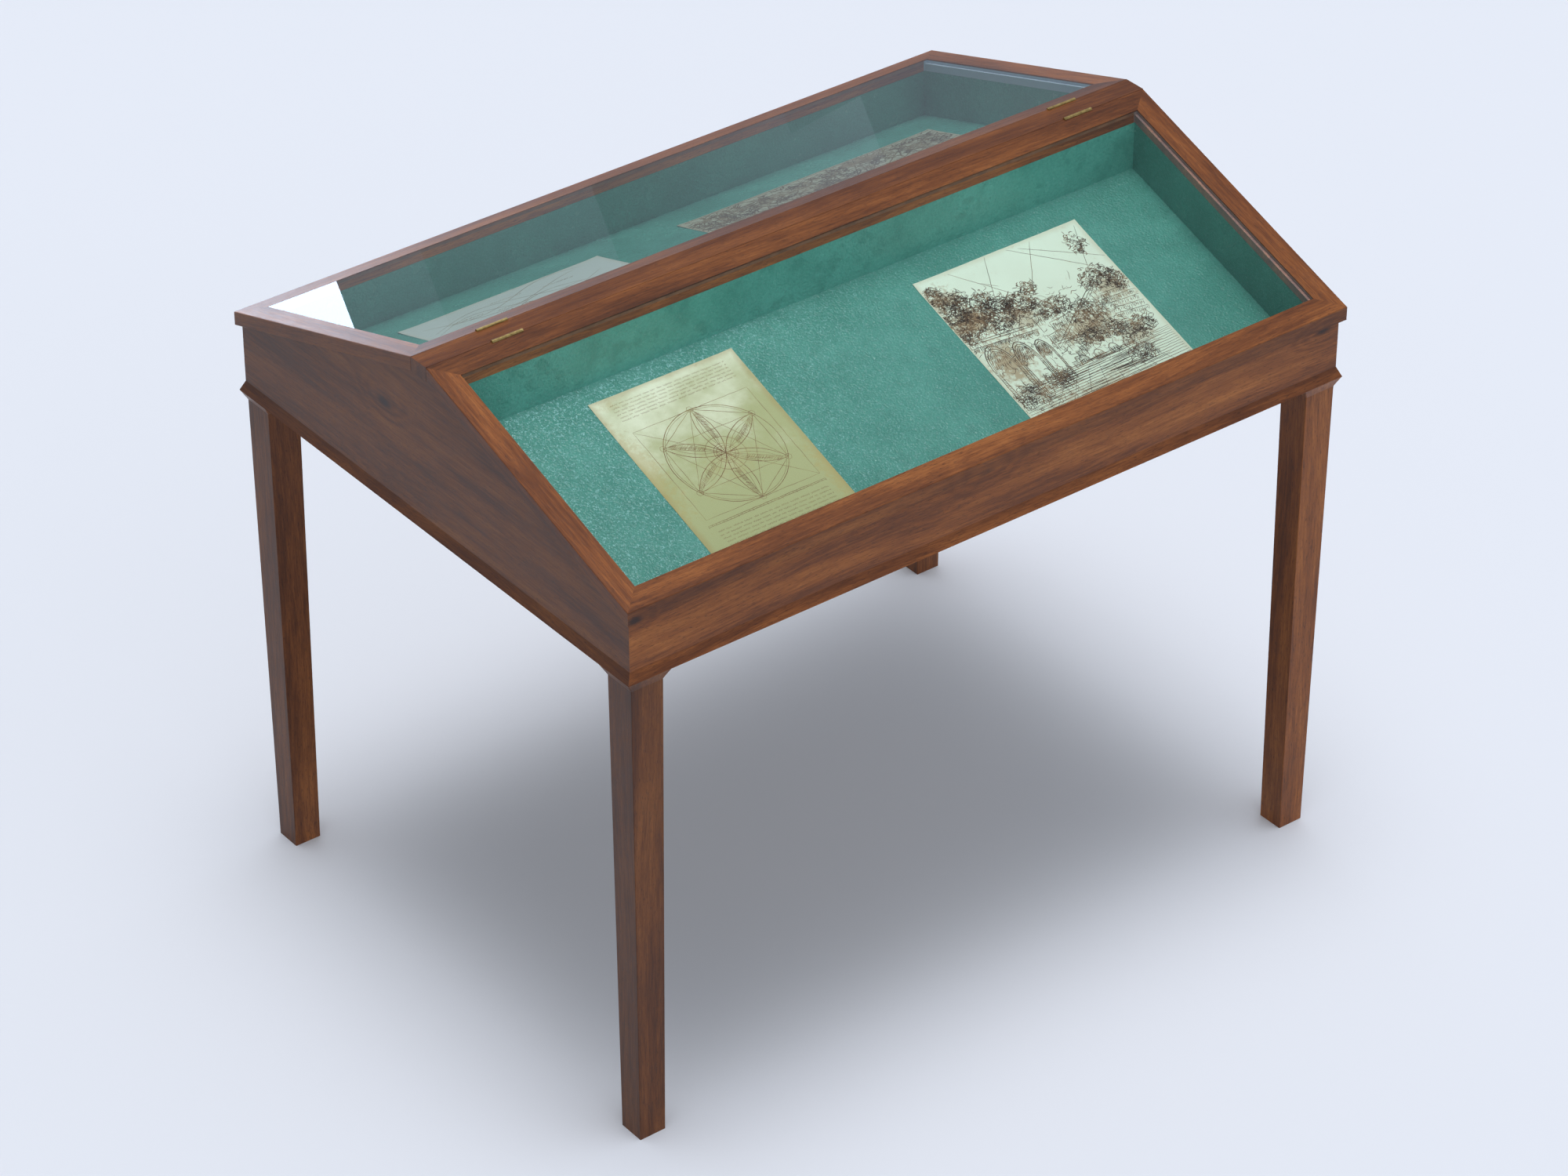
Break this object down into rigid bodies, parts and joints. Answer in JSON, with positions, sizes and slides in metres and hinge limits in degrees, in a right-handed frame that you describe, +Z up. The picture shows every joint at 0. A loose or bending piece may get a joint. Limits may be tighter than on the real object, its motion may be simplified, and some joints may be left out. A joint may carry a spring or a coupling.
{
  "type": "table display case",
  "caption": "Free-standing wooden table vitrine on tapered legs, with front and rear sloping glazed lids hinged at a flat ridge over green-lined display decks.",
  "frame": {"origin": "on the floor under the middle of the case", "axes": "+X along the ridge to the right seen from the front, +Y to the rear, +Z up"},
  "size_m": [1.2, 0.887, 1.0025],
  "materials": {
    "walnut": "satin oiled walnut with visible figure",
    "inner_wood": "plain planed secondary wood",
    "beech": "plain turned beech",
    "green_covering": "semi-gloss pebbled leathercloth",
    "glass": "clear polished float glass",
    "brass": "lightly tarnished satin brass",
    "zinc_steel": "zinc plated",
    "paper": "aged matte parchment with sepia linework"
  },
  "bodies": {
    "case": {"base_board": "inner_wood", "front_base_moulding": "walnut", "front_deck": "inner_wood", "front_deck_cleats": "inner_wood", "front_deck_lining": "green_covering", "front_left_leg": "walnut", "front_left_sheet": "paper", "front_partition": "inner_wood", "front_right_leg": "walnut", "front_right_sheet": "paper", "front_wall": "walnut", "front_well_left_lining": "green_covering", "front_well_outer_lining": "green_covering", "front_well_partition_lining": "green_covering", "front_well_right_lining": "green_covering", "hinge_fixed_leaves": "brass", "hinge_fixed_screws": "brass", "hinge_pins": "brass", "left_base_moulding": "walnut", "left_end_panel": "walnut", "leg_bolts": "zinc_steel", "leg_dowels": "beech", "leg_nuts": "zinc_steel", "leg_washers": "zinc_steel", "rear_base_moulding": "walnut", "rear_deck": "inner_wood", "rear_deck_cleats": "inner_wood", "rear_deck_lining": "green_covering", "rear_left_leg": "walnut", "rear_left_sheet": "paper", "rear_partition": "inner_wood", "rear_right_leg": "walnut", "rear_right_sheet": "paper", "rear_wall": "walnut", "rear_well_left_lining": "green_covering", "rear_well_outer_lining": "green_covering", "rear_well_partition_lining": "green_covering", "rear_well_right_lining": "green_covering", "ridge_bearer": "inner_wood", "ridge_cap": "walnut", "right_base_moulding": "walnut", "right_end_panel": "walnut"},
    "front_lid": {"front_lid_beads": "walnut", "front_lid_bottom_rail": "walnut", "front_lid_glass": "glass", "front_lid_hinge_leaves": "brass", "front_lid_hinge_screws": "brass", "front_lid_left_stile": "walnut", "front_lid_right_stile": "walnut", "front_lid_top_rail": "walnut"},
    "rear_lid": {"rear_lid_beads": "walnut", "rear_lid_bottom_rail": "walnut", "rear_lid_glass": "glass", "rear_lid_hinge_leaves": "brass", "rear_lid_hinge_screws": "brass", "rear_lid_left_stile": "walnut", "rear_lid_right_stile": "walnut", "rear_lid_top_rail": "walnut"}
  },
  "joints": [
    {"name": "front_lid_hinge", "type": "hinge", "parent": "case", "child": "front_lid", "pos_m": [0, -0.016, 1], "axis": [-1, 0, 0], "range_deg": [0, 100]},
    {"name": "rear_lid_hinge", "type": "hinge", "parent": "case", "child": "rear_lid", "pos_m": [0, 0.0185, 1], "axis": [1, 0, 0], "range_deg": [0, 100]}
  ]
}
